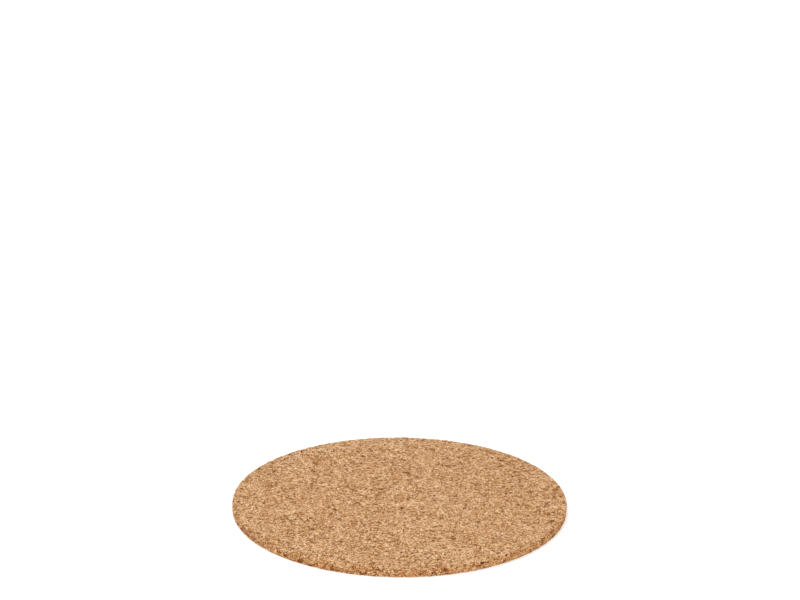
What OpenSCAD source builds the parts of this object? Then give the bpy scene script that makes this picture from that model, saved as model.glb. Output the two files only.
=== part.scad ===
// Round drink coaster: one flat disc, die cut from a sheet of pressed cork granules.
// Origin at the centre of the underside, +Z up, millimetres.

/* [Disc] */
// Diameter of the disc, across the cut edge
disc_d = 100; // [80:1:120]
// Thickness of the cork sheet
disc_t = 2.5; // [2:0.1:6]

/* [Cut edge] */
// Radius of the upper edge, worn soft in use
upper_edge_r = 0.35; // [0.1:0.05:0.8]
// Radius of the lower edge, crisper than the upper one
lower_edge_r = 0.15; // [0.1:0.05:0.8]

/* [Hidden] */
// Fineness of the round faces
$fn = 96;
// Colour of the pressed cork
cork_colour = "#d0a074";

disc_r = disc_d / 2;

// Half of the disc's section, from its axis out to the cut edge
module half_section() {
    // inside the upper rounding, up to the top face
    translate([0, lower_edge_r])
        square([disc_r - upper_edge_r, disc_t - lower_edge_r]);
    // inside the lower rounding, down to the underside
    square([disc_r - lower_edge_r, disc_t - upper_edge_r]);
    // between the two roundings, out to the straight part of the cut edge
    translate([0, lower_edge_r])
        square([disc_r, disc_t - upper_edge_r - lower_edge_r]);
    edge_rounding(upper_edge_r, disc_t - upper_edge_r);
    edge_rounding(lower_edge_r, lower_edge_r);
}

// The circle that rounds one edge of the section, at its height above the underside
module edge_rounding(r, height) {
    translate([disc_r - r, height])
        circle(r);
}

module cork_disc() {
    color(cork_colour)
        rotate_extrude()
            half_section();
}

cork_disc();
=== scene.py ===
import math

import bmesh
import bpy
import numpy as np
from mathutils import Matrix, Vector, kdtree
from mathutils.geometry import delaunay_2d_cdt


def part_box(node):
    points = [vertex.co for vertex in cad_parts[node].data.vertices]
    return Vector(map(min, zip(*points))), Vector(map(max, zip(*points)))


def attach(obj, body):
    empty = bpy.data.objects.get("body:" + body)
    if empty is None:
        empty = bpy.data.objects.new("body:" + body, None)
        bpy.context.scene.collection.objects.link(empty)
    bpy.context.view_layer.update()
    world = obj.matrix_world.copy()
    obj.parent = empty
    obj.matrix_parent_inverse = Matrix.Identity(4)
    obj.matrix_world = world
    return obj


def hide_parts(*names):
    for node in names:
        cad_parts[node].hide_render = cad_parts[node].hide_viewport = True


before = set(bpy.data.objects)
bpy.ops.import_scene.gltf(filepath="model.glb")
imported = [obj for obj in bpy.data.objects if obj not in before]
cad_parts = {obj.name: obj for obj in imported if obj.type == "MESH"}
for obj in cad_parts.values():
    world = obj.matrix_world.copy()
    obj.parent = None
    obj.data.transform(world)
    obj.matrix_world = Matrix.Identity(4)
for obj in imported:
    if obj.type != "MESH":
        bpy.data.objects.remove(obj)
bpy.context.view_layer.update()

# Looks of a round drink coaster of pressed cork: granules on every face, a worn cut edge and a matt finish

# Lengths of the cork are in millimetres, and MM turns them into the scene's metres
MM = 0.001

# The disc, as the frame has it, and the roundings of its cut edge
low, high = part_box("cork_disc")
RADIUS = (high.x - low.x) / 2 / MM
THICKNESS = (high.z - low.z) / MM
UPPER_EDGE = 0.35
LOWER_EDGE = 0.15

# The skin: a sheet of granules that lies over the top and the cut edge and turns under the disc
FLAT = RADIUS - UPPER_EDGE
UPPER_ARC = math.pi / 2 * UPPER_EDGE
SIDE = THICKNESS - UPPER_EDGE - LOWER_EDGE
LOWER_ARC = math.pi / 2 * LOWER_EDGE
TURNED_UNDER = 0.4
SKIN_RADIUS = FLAT + UPPER_ARC + SIDE + LOWER_ARC + TURNED_UNDER
SKIN_END = RADIUS - LOWER_EDGE - TURNED_UNDER

# Circles along which the skin's faces are cut so that they can bend: their places as shares of each rounding
UPPER_CREASE_SHARES = (0.25, 0.75)
LOWER_CREASE_SHARE = 0.5
CREASES = [FLAT + UPPER_ARC * share for share in UPPER_CREASE_SHARES]
CREASES.append(FLAT + UPPER_ARC + SIDE + LOWER_ARC * LOWER_CREASE_SHARE)
# A crease goes through the end of a line that it crosses within this share of the line's length from that end
NEAR_SHARE = 0.2

# The base: a second sheet under the disc, and the width of the seam that joins it to the skin
SEAM = 0.22
BASE_RADIUS = SKIN_END - SEAM
# The seam's waves, and how far from it they reach into the two sheets
WAVE_LENGTH = 2.6
WAVE_HEIGHT = 0.26
WAVE_FADE = 1.5

# Granules: how far apart the middles of the small ones lie on each sheet
TOP_SPACING = 0.86
BASE_SPACING = 1.38
# Shares of that spacing: how far a middle strays, and how near the border it may lie
JITTER_SHARE = 0.52
BORDER_SHARE = 0.3
# Shares of that spacing: how wide a strip is mirrored at the border, and how far a large granule reaches
MIRRORED_SHARE = 4
LARGE_REACH_SHARES = (0.85, 1.45)
# Shares of all granules: large ones, pairs that are joined, and outer bark
LARGE_SHARE = 0.05
MERGED_SHARE = 0.20
BARK_SHARE = 0.055
# Shortest side of a granule, and how near two places count as one
SHORTEST_SIDE = 0.10
SAME_PLACE = 1e-7

# Crevices between the granules: half their width, the shares of it by which that changes, and their depth
HALF_CREVICE = 0.055
CREVICE_CHANGE_SHARES = (-0.4, 0.3)
CREVICE_DEPTH = (0.02, 0.10)
# Half the width of the slimmest granule, as a share of a crevice's
SLIMMEST_SHARE = 1.3

# Small voids where a crumb is missing: the share of the corners that have one, elsewhere and on the cut edge
VOID_SHARE = 0.07
VOID_EDGE_SHARE = 0.14
# How far a void reaches into the granules, how deep it is, and the share of a granule's side that it may take
VOID_REACH = (0.06, 0.20)
VOID_DEPTH = (0.18, 0.34)
VOID_ROOM_SHARE = 0.45

# Heights of the granules: their spread and lean, how much rougher the cut edge is, and the highest of all
LEVEL_SPREAD = 0.022
LEAN = 0.05
EDGE_ROUGHNESS = 2.7
HIGHEST = 0.045
# Granules that are torn out: the share of them, elsewhere and on the cut edge, and how deep they lie
TORN_TOP_SHARE = 0.02
TORN_EDGE_SHARE = 0.13
TORN_DEPTH = (0.14, 0.32)
# The deepest relief, as a share of the way to the middle of a rounding
DEEPEST_SHARE = 0.7
# Where the skin's direction points up by less than this, nothing stands proud of it
NEAR_UNDERSIDE = -0.5
# Faces that meet at less than this angle look smooth
SMOOTH_BELOW = math.radians(25)

# Radii of the two sheets on the square map that the bake uses, and their margin, as shares of its side
TOP_MAP_SHARE = 0.318
BASE_MAP_SHARE = 0.262
MAP_MARGIN_SHARE = 0.003

# What each granule keeps for the material: its tint, and 1 where it is outer bark
GRANULE_MARKS = ("tint", "bark")

# Colours of cork by their tone, from the darkest bark to the palest crumb, and the tone of plain cork
CORK_TONES = (
    (0.0, "#5a2603"),
    (0.2, "#753e14"),
    (0.4, "#aa7239"),
    (0.6, "#d4a069"),
    (0.8, "#efc79b"),
    (1.0, "#fae0c0"),
)
PLAIN_TONE = 0.615
# What the cut edge multiplies them by, darker and redder: partly its fresh cork, partly painted shade where
# the disc faces sideways
CUT_AND_SHADE_TINT = (1, 0.93, 0.83, 1)

# Crumbs packed side by side in the cork, by name: their size, and the share of them that is dark
CRUMBS = {"lump": (0.80, 0.012), "crumb": (0.27, 0.045), "dust": (0.16, 0.06)}
# Cloudy patterns in the cork, by name: their size, their layers of detail, and how rough they are
CLOUDS = {"grain": (0.22, 4, 0.65), "streak": (0.17, 2, 0.6), "drift": (7.0, 2, 0.5)}
# How far each pattern moves the tone, from its least to its most, and the middle between these two
TONE_WEIGHT = {
    "tint": 0.15, "lump": 0.05, "crumb": 0.48, "dust": 0.46, "grain": 0.44, "streak": 0.38, "drift": 0.19,
}
PATTERN_MIDDLE = 0.5
# How much darker a granule of outer bark and a dark crumb are, and how strong the painted shade at the bottom
# of a void is
DARKENING = {"bark": 0.17, "dark": 0.60, "painted_void_shade": 0.20}
# How far the outline of a crumb strays from straight, and how many times as long as wide a streak is
TORN_OUTLINE = 0.45
STREAK_STRETCH = 3.5
# Whole turns of a granule's patterns between the least tint and the most
TINT_TURNS = 5

# The finish: matt, with a fine tooth
TOOTH_HEIGHT = 0.06
TOOTH_STRENGTH = 0.8
CRUMB_TOOTH_SHARE = 0.3
# A span of the grain's shade, and how rough the cork is at either end of it
GRAIN_SPAN = (0.3, 0.7)
ROUGHNESS_SPAN = (0.95, 0.78)
SPECULAR_LEVEL = 0.3

# The studio, in metres and watts: each lamp has its name, place, side and power
LAMPS = (
    ("key", (-0.35, 0.25, 1.0), 0.5, 6.7),
    ("fill", (0.12, -0.45, 0.40), 0.35, 1.3),
)
SKY_STRENGTH = 0.36
WHITE = (1, 1, 1, 1)
# The floor, which glows so that it looks white: how far it reaches, its colour, and its glow at the disc
FLOOR_REACH = 3.0
FLOOR_COLOUR = (0.8, 0.8, 0.8, 1)
FLOOR_GLOW = 0.42
# How far from the middle its glow begins to grow, and where it is full
SHADOW_REACH = 0.12
WHITE_FROM = 0.8

# The camera, as fitted to the photograph: its place in millimetres, and how it is turned
CAMERA_PLACE = (-0.3, -617, 266.4)
LOOKS_DOWN = math.radians(18.07)
ROLL = math.radians(0.42)
# Its focal length in pixels, for a frame of this many pixels, and the same frame's width in millimetres
FOCAL_PIXELS = 2230
FRAME_PIXELS = 800
SENSOR_WIDTH = 36
# How near and how far it sees, in metres
CLIP_SPAN = (0.01, 20)

SEED = 7


def profile(s):
    """Radius, height and outward direction on the section, s along it from the middle of the top."""
    s = np.asarray(s, float)
    radius = s.copy()
    height = np.full(s.shape, THICKNESS)
    out = np.zeros(s.shape)
    up = np.ones(s.shape)

    # the upper rounding, whose end also gives what follows its radius and direction
    on = s > FLAT
    a = np.clip((s[on] - FLAT) / UPPER_EDGE, 0, math.pi / 2)
    radius[on] = FLAT + UPPER_EDGE * np.sin(a)
    height[on] = THICKNESS - UPPER_EDGE * (1 - np.cos(a))
    out[on] = np.sin(a)
    up[on] = np.cos(a)

    # the straight part of the cut edge, down to its lower end
    on = s > FLAT + UPPER_ARC
    height[on] = THICKNESS - UPPER_EDGE - np.minimum(s[on] - FLAT - UPPER_ARC, SIDE)

    # the lower rounding, and the underside after it
    on = s > FLAT + UPPER_ARC + SIDE
    beyond = s[on] - FLAT - UPPER_ARC - SIDE
    a = np.minimum(beyond / LOWER_EDGE, math.pi / 2)
    radius[on] = RADIUS - LOWER_EDGE * (1 - np.cos(a)) - np.maximum(beyond - LOWER_ARC, 0)
    height[on] = LOWER_EDGE * (1 - np.sin(a))
    out[on] = np.cos(a)
    up[on] = -np.sin(a)
    return radius, height, out, up


def with_room_for_large_ones(sites, spacing, rng):
    """Which of the sites stay when some granules grow large and push their neighbours out."""
    tree = kdtree.KDTree(len(sites))
    for k, (x, y) in enumerate(sites):
        tree.insert((x, y, 0), k)
    tree.balance()
    stay = np.ones(len(sites), bool)
    for k in rng.permutation(len(sites))[:int(LARGE_SHARE * len(sites))]:
        if stay[k]:
            reach = rng.uniform(*LARGE_REACH_SHARES) * spacing
            stay[[j for _, j, _ in tree.find_range((*sites[k], 0), reach)]] = False
            stay[k] = True
    return stay


def scattered_sites(radius, spacing, rng):
    """Middles of the granules on a round sheet, then their mirror images, and how many come before those."""
    row_height = spacing * math.sqrt(3) / 2
    rows = int(radius / row_height) + 2
    columns = int(radius / spacing) + 2
    j, i = np.mgrid[-rows:rows + 1, -columns:columns + 1]
    grid = np.stack([(i + 0.5 * (j % 2)) * spacing, j * row_height], -1).reshape(-1, 2)
    turn = rng.uniform(0, 2 * math.pi, len(grid))
    push = JITTER_SHARE * spacing * np.sqrt(rng.uniform(0, 1, len(grid)))
    sites = grid + np.stack([np.cos(turn), np.sin(turn)], -1) * push[:, None]
    sites = sites[np.linalg.norm(sites, axis=1) < radius - BORDER_SHARE * spacing]
    sites = sites[with_room_for_large_ones(sites, spacing, rng)]

    # the mirror images give the sheet its round border
    reach = np.linalg.norm(sites, axis=1)
    outer = reach > radius - MIRRORED_SHARE * spacing
    mirrored = sites[outer] * ((2 * radius - reach[outer]) / reach[outer])[:, None]
    return np.vstack([sites, mirrored]), len(sites)


def cells_round(sites, count):
    """Corners of the cells round the sites, and the corner numbers of each of the first count cells."""
    _, _, triangles, _, _, _ = delaunay_2d_cdt([Vector(p) for p in sites], [], [], 0, SAME_PLACE, True)
    triangles = np.array(triangles)

    # a corner is as far from each of the three sites round it
    a, b, c = (sites[triangles[:, k]] for k in range(3))
    b, c = b - a, c - a
    cross = 2 * (b[:, 0] * c[:, 1] - b[:, 1] * c[:, 0])
    bb, cc = (b * b).sum(1), (c * c).sum(1)
    corners = a + np.stack([c[:, 1] * bb - b[:, 1] * cc, b[:, 0] * cc - c[:, 0] * bb], -1) / cross[:, None]

    # the corners of a cell are put in order by their direction from its site
    site = triangles.ravel()
    triangle = np.repeat(np.arange(len(triangles)), 3)
    ray = corners[triangle] - sites[site]
    order = np.lexsort((np.arctan2(ray[:, 1], ray[:, 0]), site))
    site, triangle = site[order], triangle[order]
    starts = np.searchsorted(site, np.arange(count + 1))
    return corners, [triangle[starts[k]:starts[k + 1]] for k in range(count)]


def flat_granules(radius, spacing, rng):
    """A flat mesh of granule outlines: irregular cells, some of them joined in pairs."""
    corners, cells = cells_round(*scattered_sites(radius, spacing, rng))
    sheet = bmesh.new()
    verts = {k: sheet.verts.new((*corners[k], 0)) for k in sorted({k for cell in cells for k in cell})}
    for cell in cells:
        sheet.faces.new([verts[k] for k in cell])
    bmesh.ops.remove_doubles(sheet, verts=sheet.verts[:], dist=SHORTEST_SIDE)

    # some neighbours are joined in pairs
    shared = [e for e in sheet.edges if len(e.link_faces) == 2]
    joined, used = [], set()
    for k in rng.permutation(len(shared)):
        pair = shared[k].link_faces
        if len(joined) >= MERGED_SHARE * len(sheet.faces):
            break
        if not any(f in used for f in pair):
            joined.append(shared[k])
            used.update(pair)
    bmesh.ops.dissolve_edges(sheet, edges=joined, use_verts=True)

    # a granule too slim for its crevices becomes part of a neighbour
    slimmest = SLIMMEST_SHARE * HALF_CREVICE
    slim = [f for f in sheet.faces if 2 * f.calc_area() < slimmest * f.calc_perimeter()]
    longest = dict.fromkeys(max(f.edges, key=lambda e: e.calc_length()) for f in slim)
    bmesh.ops.dissolve_edges(sheet, edges=[e for e in longest if len(e.link_faces) == 2], use_verts=True)
    return sheet


def tint_granules(sheet, rng):
    """Gives each granule its tint, and makes some of them outer bark, mostly small ones."""
    tint = sheet.faces.layers.float.new("tint")
    bark = sheet.faces.layers.float.new("bark")
    # the smaller a granule, the likelier it is bark, with BARK_SHARE as the mean of all
    rank = np.argsort(np.argsort([f.calc_area() for f in sheet.faces])) / len(sheet.faces)
    for f, share_smaller in zip(sheet.faces, rank):
        f[tint] = rng.uniform()
        f[bark] = float(rng.uniform() < BARK_SHARE * 2 * (1 - share_smaller))


def crevice_heights(sheet, plates, rng, edge_from):
    """A height for every point as if it lay in a crevice, and how far each void reaches."""
    heights = -rng.uniform(*CREVICE_DEPTH, len(sheet.verts))
    void_reach = np.zeros(len(sheet.verts))
    for v in sheet.verts:
        share = VOID_EDGE_SHARE if v.co.length > edge_from else VOID_SHARE
        if v not in plates and rng.uniform() < share:
            heights[v.index] = -rng.uniform(*VOID_DEPTH)
            void_reach[v.index] = rng.uniform(*VOID_REACH)
    return heights, void_reach


def wear_corners(granules, plates, void_reach, rng):
    """Varies the width of the crevices, and wears granules back further where they meet a void."""
    shifts = {}
    for f in granules:
        for corner in f.loops:
            v = corner.vert
            outline = next(e.other_vert(v) for e in v.link_edges if e.other_vert(v) not in plates)
            way = v.co - outline.co
            shorter_side = min(corner.edge.calc_length(), corner.link_loop_prev.edge.calc_length())
            reach = min(void_reach[outline.index], VOID_ROOM_SHARE * shorter_side)
            shifts[v] = way * rng.uniform(*CREVICE_CHANGE_SHARES) + way.normalized() * reach
    for v, shift in shifts.items():
        v.co += shift


def set_levels(granules, heights, rng, edge_from):
    """Gives each granule its own level and lean, and tears some of them out deeper."""
    for f in granules:
        middle = f.calc_center_median().xy
        at_edge = middle.length > edge_from
        rough = EDGE_ROUGHNESS if at_edge else 1
        level = rng.normal() * LEVEL_SPREAD * rough
        lean = Vector(rng.normal(size=2)) * LEAN * rough
        if rng.uniform() < (TORN_EDGE_SHARE if at_edge else TORN_TOP_SHARE):
            level -= rng.uniform(*TORN_DEPTH)
        for v in f.verts:
            heights[v.index] = min(level + lean.dot(v.co.xy - middle), HIGHEST)


def add_relief(sheet, rng, edge_from):
    """Parts the granules with crevices and voids and sets their heights, rougher from edge_from outwards."""
    tint_granules(sheet, rng)
    granules = sheet.faces[:]
    bmesh.ops.inset_individual(sheet, faces=granules, thickness=HALF_CREVICE, depth=0)
    sheet.verts.index_update()
    plates = {v for f in granules for v in f.verts}
    heights, void_reach = crevice_heights(sheet, plates, rng, edge_from)
    wear_corners(granules, plates, void_reach, rng)
    set_levels(granules, heights, rng, edge_from)
    kept = sheet.verts.layers.float.new("height")
    for v, height in zip(sheet.verts, heights):
        v[kept] = height


def make_border_wavy(sheet, radius, waves, way):
    """Moves what lies near a sheet's border in and out, so that no drawn circle shows at the seam."""
    turns = np.linspace(-math.pi, math.pi, len(waves) + 1)
    closed = np.append(waves, waves[0])
    for v in sheet.verts:
        near = 1 - (radius - v.co.length) / WAVE_FADE
        if near > 0:
            wave = np.interp(math.atan2(v.co.y, v.co.x), turns, closed)
            v.co += v.co.normalized() * float(way * wave * min(near, 1))


def crease(sheet, reach):
    """Cuts the faces of a flat sheet along a circle, so that they can bend there."""
    on_circle = set()
    for e in sheet.edges[:]:
        v, other = e.verts
        share = (reach - v.co.length) / (other.co.length - v.co.length or 1)
        if NEAR_SHARE < share < 1 - NEAR_SHARE:
            on_circle.add(bmesh.utils.edge_split(e, v, share)[1])
        elif 0 <= share <= 1:
            on_circle.add(v if share < 0.5 else other)
    for f in sheet.faces[:]:
        ends = [v for v in f.verts if v in on_circle]
        if len(ends) == 2 and not {e for v in ends for e in v.link_edges if e.other_vert(v) in ends}:
            bmesh.utils.face_split(f, *ends)
    sheet.verts.index_update()


def granule_sheets(rng):
    """The skin and the base as flat sheets of granules, ready to be laid on the disc."""
    skin = flat_granules(SKIN_RADIUS, TOP_SPACING, rng)
    add_relief(skin, rng, FLAT)
    base = flat_granules(BASE_RADIUS, BASE_SPACING, rng)
    add_relief(base, rng, RADIUS)

    # the skin runs inwards under the disc, so its waves go the other way
    waves = rng.uniform(-WAVE_HEIGHT, WAVE_HEIGHT, round(2 * math.pi * RADIUS / WAVE_LENGTH))
    make_border_wavy(skin, SKIN_RADIUS, waves, -1)
    make_border_wavy(base, BASE_RADIUS, waves, 1)
    for reach in CREASES:
        crease(skin, reach)
    return skin, base


def places_on(sheet):
    """Where the vertices of a flat sheet lie in its plane, and the height of each."""
    kept = sheet.verts.layers.float["height"]
    return np.array([v.co.xy for v in sheet.verts]), np.array([v[kept] for v in sheet.verts])


def laid_over_edge(places, heights):
    """Points of the skin on the disc, how high each stands out of its face, and how far it faces sideways."""
    reach = np.linalg.norm(places, axis=1)
    radius, height, out, up = profile(reach)

    # relief on a rounded edge ends short of the middle of its rounding, and grows deeper away from it
    from_upper_edge = np.maximum(FLAT - reach, reach - FLAT - UPPER_ARC)
    past_side = reach - FLAT - UPPER_ARC - SIDE
    from_lower_edge = np.maximum(FLAT + UPPER_ARC + SIDE - reach, past_side - LOWER_ARC)
    upper_room = UPPER_EDGE + np.maximum(from_upper_edge, 0)
    lower_room = LOWER_EDGE + np.maximum(from_lower_edge, 0)
    heights = np.maximum(heights, -DEEPEST_SHARE * np.minimum(upper_room, lower_room))

    # near the underside no granule stands below the table
    heights = np.where(up < NEAR_UNDERSIDE, np.minimum(heights, 0), heights)
    spread = ((radius + heights * out) / np.maximum(reach, SAME_PLACE))[:, None]
    return np.column_stack([places * spread, height + heights * up]), heights, out


def empty_disc():
    """A mesh with room for what the material and the bake need to know of its faces and points."""
    disc = bmesh.new()
    for name in GRANULE_MARKS:
        disc.faces.layers.float.new(name)
    # each point keeps how deep it lies in a void, for the painted shade there, and how far it faces sideways,
    # for the cut edge's tint and painted shade
    for name in ("painted_void_shade", "cut"):
        disc.verts.layers.float.new(name)
    disc.loops.layers.uv.new("OFBake")
    return disc


def add_sheet(disc, sheet, points, heights, sideways, on_map):
    """Copies a sheet to its points on the disc, and returns its border as pairs of angle and vertex."""
    painted_void_shade = disc.verts.layers.float["painted_void_shade"]
    cut = disc.verts.layers.float["cut"]
    verts = []
    for point, height, out in zip(points, heights, sideways):
        v = disc.verts.new(point)
        # painted shade: from 0 on the face to 1 as deep as the shallowest void
        v[painted_void_shade] = min(max(-height / VOID_DEPTH[0], 0), 1)
        # how far the point faces sideways, which sets how much of the cut edge's tint and painted shade it
        # gets
        v[cut] = out
        verts.append(v)

    uv = disc.loops.layers.uv["OFBake"]
    faces_down = points[:, 2].max() < THICKNESS / 2
    for f in sheet.faces:
        corners = [v.index for v in f.verts]
        if faces_down:
            corners.reverse()
        made = disc.faces.new([verts[k] for k in corners])
        for name in GRANULE_MARKS:
            made[disc.faces.layers.float[name]] = f[sheet.faces.layers.float[name]]
        for loop, k in zip(made.loops, corners):
            loop[uv].uv = on_map[k]

    rim = {v for e in sheet.edges if len(e.link_faces) == 1 for v in e.verts}
    return sorted(((math.atan2(v.co.y, v.co.x), verts[v.index]) for v in rim), key=lambda pair: pair[0])


def join_borders(disc, outer, inner, map_places, rng):
    """Fills the seam between two borders with one band of triangles."""
    tint = disc.faces.layers.float["tint"]
    uv = disc.loops.layers.uv["OFBake"]

    def after(border, k):
        """The angle of the border's next vertex, a whole turn on where the border closes."""
        return border[(k + 1) % len(border)][0] + (2 * math.pi if k + 1 >= len(border) else 0)

    i = j = 0
    while i < len(outer) or j < len(inner):
        _, from_outer = outer[i % len(outer)]
        _, from_inner = inner[j % len(inner)]
        if j >= len(inner) or (i < len(outer) and after(outer, i) < after(inner, j)):
            i += 1
            _, onward = outer[i % len(outer)]
        else:
            j += 1
            _, onward = inner[j % len(inner)]
        made = disc.faces.new([from_outer, from_inner, onward])
        made[tint] = rng.uniform()
        for loop in made.loops:
            loop[uv].uv = map_places[loop.vert]


def build_disc():
    """The disc as one closed mesh of granules: the skin, the base under it and the seam between the two."""
    rng = np.random.default_rng(SEED)
    skin, base = granule_sheets(rng)
    over, skin_heights = places_on(skin)
    skin_points, skin_heights, sideways = laid_over_edge(over, skin_heights)
    under, base_heights = places_on(base)
    base_points = np.column_stack([under, base_heights.max() - base_heights])
    base_sideways = np.zeros(len(under))

    top_middle = MAP_MARGIN_SHARE + TOP_MAP_SHARE
    top_scale = TOP_MAP_SHARE / (SKIN_RADIUS + SEAM + WAVE_HEIGHT)
    base_middle = 1 - MAP_MARGIN_SHARE - BASE_MAP_SHARE
    base_scale = BASE_MAP_SHARE / (BASE_RADIUS + WAVE_HEIGHT)
    skin_map = top_middle + over * top_scale
    base_map = base_middle + under * base_scale

    disc = empty_disc()
    outer = add_sheet(disc, skin, skin_points, skin_heights, sideways, skin_map)
    inner = add_sheet(disc, base, base_points, base_heights, base_sideways, base_map)

    # the seam has its place on the map round the skin
    map_places = {}
    for turn, v in outer + inner:
        ray = np.array([math.cos(turn), math.sin(turn)])
        map_places[v] = top_middle + ray * (SKIN_RADIUS + SKIN_END - v.co.xy.length) * top_scale
    join_borders(disc, outer, inner, map_places, rng)
    skin.free()
    base.free()

    bmesh.ops.scale(disc, vec=(MM, MM, MM), verts=disc.verts[:])
    mesh = bpy.data.meshes.new("cork_granules")
    disc.to_mesh(mesh)
    disc.free()
    mesh.polygons.foreach_set("use_smooth", [True] * len(mesh.polygons))
    mesh.set_sharp_from_angle(angle=SMOOTH_BELOW)
    return mesh


class Nodes:
    """Short ways to add the shader nodes of a material or a world and link them."""

    def __init__(self, owner):
        owner.use_nodes = True
        self.tree = owner.node_tree
        self.tree.nodes.clear()

    def add(self, kind, settings=(), **inputs):
        """A new node with these settings, its inputs set or linked by name, with _ for a space."""
        node = self.tree.nodes.new(kind)
        for name, value in dict(settings).items():
            setattr(node, name, value)
        for name, value in inputs.items():
            self.plug(value, node.inputs[name.replace("_", " ")])
        return node

    def plug(self, value, socket):
        """Links the output of a node to a socket, or gives the socket a plain value."""
        if isinstance(value, bpy.types.NodeSocket):
            self.tree.links.new(value, socket)
        else:
            socket.default_value = value

    def mix(self, factor, a, b, blend):
        """Two colours mixed, by the node's own sockets for colours."""
        node = self.tree.nodes.new("ShaderNodeMix")
        node.data_type = "RGBA"
        node.blend_type = blend
        for value, k in ((factor, 0), (a, 6), (b, 7)):
            self.plug(value, node.inputs[k])
        return node.outputs[2]

    def math(self, operation, *values):
        node = self.tree.nodes.new("ShaderNodeMath")
        node.operation = operation
        for value, socket in zip(values, node.inputs):
            self.plug(value, socket)
        return node.outputs[0]

    def span(self, value, low, high, to_low, to_high):
        """The value carried from the span low to high over to the span to_low to to_high, and held there."""
        node = self.tree.nodes.new("ShaderNodeMapRange")
        for given, socket in zip((value, low, high, to_low, to_high), node.inputs):
            self.plug(given, socket)
        return node.outputs[0]

    def clouds(self, at, size, detail, roughness):
        """A cloudy pattern: its shade from 0 to 1, and a colour."""
        scale = 1 / (size * MM)
        noise = self.add("ShaderNodeTexNoise", Vector=at, Scale=scale, Detail=detail, Roughness=roughness)
        return noise.outputs

    def crumbs(self, at, size, dark_share):
        """Crumbs packed side by side: the shade of each, and 1 on the few that are dark."""
        cells = self.add("ShaderNodeTexVoronoi", Vector=at, Scale=1 / (size * MM)).outputs["Color"]
        shade, pick, _ = self.add("ShaderNodeSeparateColor", Color=cells).outputs
        return shade, self.math("GREATER_THAN", pick, 1 - dark_share)

    def attribute(self, name):
        return self.add("ShaderNodeAttribute", {"attribute_name": name}).outputs["Fac"]

    def object_place(self):
        return self.add("ShaderNodeTexCoord").outputs["Object"]

    def ramp(self, value, stops):
        """The colour at a value between 0 and 1, from stops of a place and a colour each."""
        node = self.tree.nodes.new("ShaderNodeValToRGB")
        elements = node.color_ramp.elements
        while len(elements) < len(stops):
            elements.new(1)
        for element, (place, colour) in zip(elements, stops):
            element.position = place
            element.color = linear(colour)
        self.plug(value, node.inputs[0])
        return node.outputs[0]

    def finish(self, shader, output_kind):
        self.plug(shader, self.add(output_kind).inputs[0])


def linear(hex_colour):
    """The colour that a web code such as #d0a074 stands for, as the shader takes it."""
    # this is the standard curve of screen colours
    parts = [int(hex_colour[k:k + 2], 16) / 255 for k in (1, 3, 5)]
    return (*(c / 12.92 if c <= 0.04045 else ((c + 0.055) / 1.055) ** 2.4 for c in parts), 1)


def cork_patterns(n):
    """What makes one place in the cork differ from another, each as a number from 0 to 1."""
    place = n.object_place()
    # tint and bark are the granules' own; the third is how deep a point lies in a void, and it only sets
    # painted shade there
    patterns = {name: n.attribute(name) for name in ("tint", "bark", "painted_void_shade")}

    # each granule is a bit of bark of its own, turned its own way
    turn = n.math("MULTIPLY", patterns["tint"], 2 * math.pi * TINT_TURNS)
    turned = n.add("ShaderNodeVectorRotate", {"rotation_type": "Z_AXIS"}, Vector=place, Angle=turn)
    inside = turned.outputs[0]
    patterns["grain"], stray = n.clouds(inside, *CLOUDS["grain"])
    torn = n.mix(TORN_OUTLINE * MM, inside, stray, "ADD")
    streaks = n.add("ShaderNodeMapping", Vector=torn, Scale=(1 / STREAK_STRETCH, 1, 1)).outputs[0]

    # crumbs of torn outline, drawn out but for the lumps, streaks, and a slow drift over the whole sheet
    patterns["dark"] = 0
    for name, at in (("lump", torn), ("crumb", streaks), ("dust", streaks)):
        patterns[name], dark_crumb = n.crumbs(at, *CRUMBS[name])
        patterns["dark"] = n.math("MAXIMUM", patterns["dark"], dark_crumb)
    patterns["streak"] = n.clouds(streaks, *CLOUDS["streak"])["Fac"]
    patterns["drift"] = n.clouds(place, *CLOUDS["drift"])["Fac"]
    return patterns


def cork_colour(n, patterns):
    """The colour of the cork by its tone, with painted shade in voids, and a cut edge made darker and redder,
    partly by painted shade.
    """
    tone = PLAIN_TONE
    for name, weight in TONE_WEIGHT.items():
        from_middle = n.math("SUBTRACT", patterns[name], PATTERN_MIDDLE)
        tone = n.math("MULTIPLY_ADD", from_middle, weight, tone)

    # darker: whole granules of outer bark, crumbs of it anywhere, and painted shade deep in a void
    for name, weight in DARKENING.items():
        tone = n.math("SUBTRACT", tone, n.math("MULTIPLY", patterns[name], weight))

    # the cut edge is darker and redder: partly fresh cork, partly painted shade where the skin faces sideways
    colour = n.ramp(tone, CORK_TONES)
    fresh_and_shaded = n.mix(1, colour, CUT_AND_SHADE_TINT, "MULTIPLY")
    return n.mix(n.attribute("cut"), colour, fresh_and_shaded, "MIX")


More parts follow.
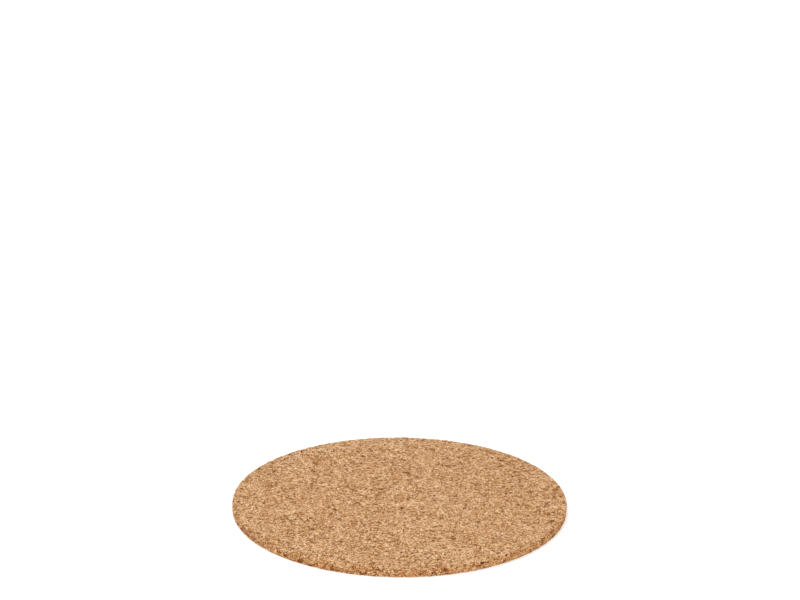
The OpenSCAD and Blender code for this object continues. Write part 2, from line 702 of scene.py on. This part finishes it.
def cork_material():
    """Pressed cork: matt, with a fine tooth of grain and crumbs."""
    material = bpy.data.materials.new("pressed_cork")
    n = Nodes(material)
    patterns = cork_patterns(n)
    colour = cork_colour(n, patterns)
    crumb_tooth = n.math("MULTIPLY", n.math("ADD", patterns["crumb"], patterns["dust"]), CRUMB_TOOTH_SHARE)
    tooth = n.math("ADD", patterns["grain"], crumb_tooth)
    bump = n.add("ShaderNodeBump", Height=tooth, Strength=TOOTH_STRENGTH, Distance=TOOTH_HEIGHT * MM)
    rough = n.span(patterns["grain"], *GRAIN_SPAN, *ROUGHNESS_SPAN)
    shader = n.add("ShaderNodeBsdfPrincipled", Base_Color=colour, Roughness=rough, Normal=bump.outputs[0])
    shader.inputs["Specular IOR Level"].default_value = SPECULAR_LEVEL
    n.finish(shader.outputs[0], "ShaderNodeOutputMaterial")
    return material


def seen_directly(n):
    """1 for a ray from the camera, also after a shiny or clear surface has passed it on."""
    path = n.add("ShaderNodeLightPath").outputs
    seen = n.math("MAXIMUM", path["Is Camera Ray"], path["Is Glossy Ray"])
    return n.math("MAXIMUM", seen, path["Is Transmission Ray"])


def floor_material():
    """Pale and matt, with a glow that makes it look white to the camera."""
    material = bpy.data.materials.new("floor")
    n = Nodes(material)
    # near the disc the floor keeps its shadow, and further out it turns plain white
    away = n.add("ShaderNodeVectorMath", {"operation": "LENGTH"}, Vector=n.object_place())
    glow_there = n.span(away.outputs["Value"], SHADOW_REACH, WHITE_FROM, FLOOR_GLOW, 1)
    glow = n.span(seen_directly(n), 0, 1, FLOOR_GLOW, glow_there)
    both = n.add("ShaderNodeAddShader")
    n.plug(n.add("ShaderNodeBsdfDiffuse", Color=FLOOR_COLOUR).outputs[0], both.inputs[0])
    n.plug(n.add("ShaderNodeEmission", Strength=glow).outputs[0], both.inputs[1])
    n.finish(both.outputs[0], "ShaderNodeOutputMaterial")
    return material


def make_floor():
    """A wide floor that takes the disc's shadow."""
    mesh = bpy.data.meshes.new("floor")
    corners = [(x * FLOOR_REACH, y * FLOOR_REACH, 0) for x, y in ((-1, -1), (1, -1), (1, 1), (-1, 1))]
    mesh.from_pydata(corners, [], [(0, 1, 2, 3)])
    mesh.materials.append(floor_material())
    floor = bpy.data.objects.new("floor", mesh)
    bpy.context.collection.objects.link(floor)


def make_world():
    """Soft light from all round, which looks white to the camera."""
    world = bpy.data.worlds.new("studio")
    bpy.context.scene.world = world
    n = Nodes(world)
    strength = n.span(seen_directly(n), 0, 1, SKY_STRENGTH, 1)
    sky = n.add("ShaderNodeBackground", Color=WHITE, Strength=strength)
    n.finish(sky.outputs[0], "ShaderNodeOutputWorld")


def add_lamp(name, place, size, watts):
    """A square lamp that faces the middle of the floor."""
    lamp = bpy.data.lights.new(name, "AREA")
    lamp.shape = "SQUARE"
    lamp.size = size
    lamp.energy = watts
    holder = bpy.data.objects.new(name, lamp)
    holder.location = place
    holder.rotation_euler = (-Vector(place)).to_track_quat("-Z", "Y").to_euler()
    bpy.context.collection.objects.link(holder)


def make_camera():
    """The photograph's view: a long lens, looking down on the disc."""
    camera = bpy.data.cameras.new("camera")
    camera.sensor_width = SENSOR_WIDTH
    camera.lens = FOCAL_PIXELS / FRAME_PIXELS * SENSOR_WIDTH
    camera.clip_start, camera.clip_end = CLIP_SPAN
    holder = bpy.data.objects.new("camera", camera)
    holder.location = Vector(CAMERA_PLACE) * MM
    holder.rotation_euler = (math.pi / 2 - LOOKS_DOWN, 0, 0)
    holder.rotation_euler.rotate_axis("Z", ROLL)
    bpy.context.collection.objects.link(holder)
    bpy.context.scene.camera = holder


make_camera()
make_floor()
make_world()
for lamp in LAMPS:
    add_lamp(*lamp)
bpy.context.scene.view_settings.view_transform = "Standard"

cork = bpy.data.objects.new("cork_disc_granules", build_disc())
bpy.context.collection.objects.link(cork)
cork.data.materials.append(cork_material())
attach(cork, "root")
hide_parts("cork_disc")
